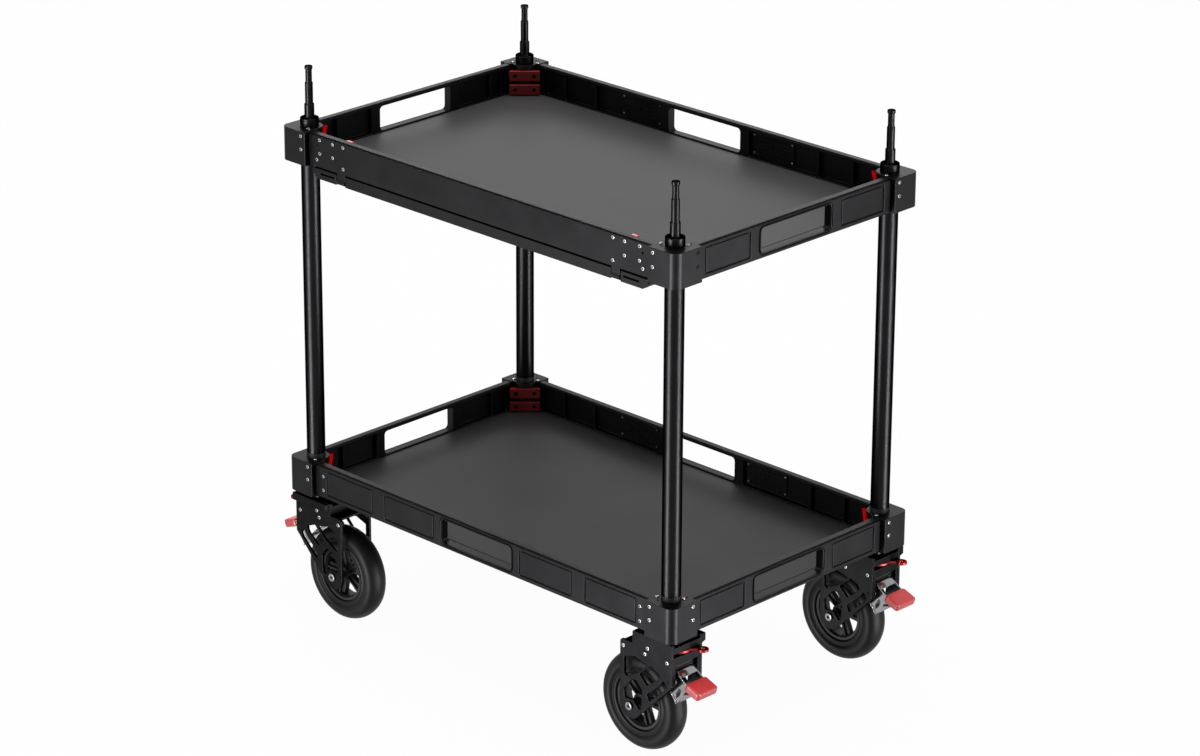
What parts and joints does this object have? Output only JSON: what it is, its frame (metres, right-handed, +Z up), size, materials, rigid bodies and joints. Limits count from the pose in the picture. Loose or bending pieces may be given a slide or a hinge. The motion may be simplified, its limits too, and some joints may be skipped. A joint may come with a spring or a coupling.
{
  "type": "camera cart",
  "caption": "Rolling equipment cart with two framed trays on round posts, a drop-down front gate, corner accessory pins and braked swivel casters with locks.",
  "frame": {"origin": "on the floor, under the middle of the cart", "axes": "+Z up; X along the long side, +Y towards the back, with the drop-down gate at -Y"},
  "size_m": [1.178, 0.682, 1.1717],
  "materials": {
    "black_anodised": "bead-blasted, anodised black, satin",
    "black_tube": "drawn tube, anodised black, semi-gloss",
    "shelf_coat": "fine dark grey powder coat, matt",
    "yoke_black": "machined plate, anodised black, satin",
    "hub_plastic": "moulded glass-filled nylon, matt",
    "tyre": "moulded black rubber, matt",
    "red_plastic": "moulded red plastic, semi-gloss",
    "red_anodised": "anodised red, satin",
    "bright_steel": "nickel-plated steel, bright"
  },
  "bodies": {
    "cart_frame": {"upper_corner_front_left": "black_anodised", "upper_corner_front_right": "black_anodised", "upper_corner_back_left": "black_anodised", "upper_corner_back_right": "black_anodised", "lower_corner_front_left": "black_anodised", "lower_corner_front_right": "black_anodised", "lower_corner_back_left": "black_anodised", "lower_corner_back_right": "black_anodised", "post_front_left": "black_tube", "post_front_right": "black_tube", "post_back_left": "black_tube", "post_back_right": "black_tube", "accessory_pin_front_left": "black_anodised", "accessory_pin_front_right": "black_anodised", "accessory_pin_back_left": "black_anodised", "accessory_pin_back_right": "black_anodised", "upper_rail_back": "black_anodised", "upper_rail_left": "black_anodised", "upper_rail_right": "black_anodised", "lower_rail_back": "black_anodised", "lower_rail_left": "black_anodised", "lower_rail_right": "black_anodised", "lower_rail_front": "black_anodised", "upper_shelf": "shelf_coat", "lower_shelf": "shelf_coat", "gate_sill": "black_anodised", "accessory_plate_left": "black_anodised", "accessory_plate_right": "black_anodised"},
    "front_gate": {"front_gate": "black_anodised"},
    "gate_latch_left": {"gate_latch_left": "red_plastic"},
    "gate_latch_right": {"gate_latch_right": "red_plastic"},
    "caster_front_left": {"yoke_front_left": "yoke_black", "axle_front_left": "bright_steel"},
    "wheel_front_left": {"tyre_front_left": "tyre", "hub_front_left": "hub_plastic"},
    "pedal_front_left": {"brake_pedal_front_left": "bright_steel", "pedal_boot_front_left": "red_plastic"},
    "swivel_lock_front_left": {"swivel_lock_front_left": "red_anodised"},
    "caster_front_right": {"yoke_front_right": "yoke_black", "axle_front_right": "bright_steel"},
    "wheel_front_right": {"tyre_front_right": "tyre", "hub_front_right": "hub_plastic"},
    "pedal_front_right": {"brake_pedal_front_right": "bright_steel", "pedal_boot_front_right": "red_plastic"},
    "swivel_lock_front_right": {"swivel_lock_front_right": "red_anodised"},
    "caster_back_left": {"yoke_back_left": "yoke_black", "axle_back_left": "bright_steel"},
    "wheel_back_left": {"tyre_back_left": "tyre", "hub_back_left": "hub_plastic"},
    "pedal_back_left": {"brake_pedal_back_left": "bright_steel", "pedal_boot_back_left": "red_plastic"},
    "swivel_lock_back_left": {"swivel_lock_back_left": "red_anodised"},
    "caster_back_right": {"yoke_back_right": "yoke_black", "axle_back_right": "bright_steel"},
    "wheel_back_right": {"tyre_back_right": "tyre", "hub_back_right": "hub_plastic"},
    "pedal_back_right": {"brake_pedal_back_right": "bright_steel", "pedal_boot_back_right": "red_plastic"},
    "swivel_lock_back_right": {"swivel_lock_back_right": "red_anodised"}
  },
  "joints": [
    {"name": "gate_fold", "type": "hinge", "parent": "cart_frame", "child": "front_gate", "pos_m": [0, -0.326, 0.9634], "axis": [1, 0, 0], "range_deg": [0, 180]},
    {"name": "gate_latch_left_slide", "type": "slide", "parent": "front_gate", "child": "gate_latch_left", "axis": [1, 0, 0], "range_m": [0, 0.01], "stiffness_N_per_m": 200},
    {"name": "gate_latch_right_slide", "type": "slide", "parent": "front_gate", "child": "gate_latch_right", "axis": [-1, 0, 0], "range_m": [0, 0.01], "stiffness_N_per_m": 200},
    {"name": "front_left_swivel", "type": "hinge", "parent": "cart_frame", "child": "caster_front_left", "pos_m": [-0.488, -0.288, 0.26], "axis": [0, 0, 1], "continuous": true},
    {"name": "front_left_roll", "type": "hinge", "parent": "caster_front_left", "child": "wheel_front_left", "pos_m": [-0.423, -0.288, 0.1], "axis": [0, 1, 0], "continuous": true},
    {"name": "front_left_brake", "type": "hinge", "parent": "caster_front_left", "child": "pedal_front_left", "pos_m": [-0.523, -0.288, 0.183], "axis": [0, -1, 0], "range_deg": [0, 8]},
    {"name": "front_left_lock", "type": "hinge", "parent": "caster_front_left", "child": "swivel_lock_front_left", "pos_m": [-0.508, -0.288, 0.237], "axis": [0, 0, 1], "range_deg": [-66, 0]},
    {"name": "front_right_swivel", "type": "hinge", "parent": "cart_frame", "child": "caster_front_right", "pos_m": [0.488, -0.288, 0.26], "axis": [0, 0, 1], "continuous": true},
    {"name": "front_right_roll", "type": "hinge", "parent": "caster_front_right", "child": "wheel_front_right", "pos_m": [0.423, -0.288, 0.1], "axis": [0, 1, 0], "continuous": true},
    {"name": "front_right_brake", "type": "hinge", "parent": "caster_front_right", "child": "pedal_front_right", "pos_m": [0.523, -0.288, 0.183], "axis": [0, 1, 0], "range_deg": [0, 8]},
    {"name": "front_right_lock", "type": "hinge", "parent": "caster_front_right", "child": "swivel_lock_front_right", "pos_m": [0.508, -0.288, 0.237], "axis": [0, 0, 1], "range_deg": [-66, 0]},
    {"name": "back_left_swivel", "type": "hinge", "parent": "cart_frame", "child": "caster_back_left", "pos_m": [-0.488, 0.288, 0.26], "axis": [0, 0, 1], "continuous": true},
    {"name": "back_left_roll", "type": "hinge", "parent": "caster_back_left", "child": "wheel_back_left", "pos_m": [-0.423, 0.288, 0.1], "axis": [0, 1, 0], "continuous": true},
    {"name": "back_left_brake", "type": "hinge", "parent": "caster_back_left", "child": "pedal_back_left", "pos_m": [-0.523, 0.288, 0.183], "axis": [0, -1, 0], "range_deg": [0, 8]},
    {"name": "back_left_lock", "type": "hinge", "parent": "caster_back_left", "child": "swivel_lock_back_left", "pos_m": [-0.508, 0.288, 0.237], "axis": [0, 0, 1], "range_deg": [-66, 0]},
    {"name": "back_right_swivel", "type": "hinge", "parent": "cart_frame", "child": "caster_back_right", "pos_m": [0.488, 0.288, 0.26], "axis": [0, 0, 1], "continuous": true},
    {"name": "back_right_roll", "type": "hinge", "parent": "caster_back_right", "child": "wheel_back_right", "pos_m": [0.423, 0.288, 0.1], "axis": [0, 1, 0], "continuous": true},
    {"name": "back_right_brake", "type": "hinge", "parent": "caster_back_right", "child": "pedal_back_right", "pos_m": [0.523, 0.288, 0.183], "axis": [0, 1, 0], "range_deg": [0, 8]},
    {"name": "back_right_lock", "type": "hinge", "parent": "caster_back_right", "child": "swivel_lock_back_right", "pos_m": [0.508, 0.288, 0.237], "axis": [0, 0, 1], "range_deg": [-66, 0]}
  ]
}
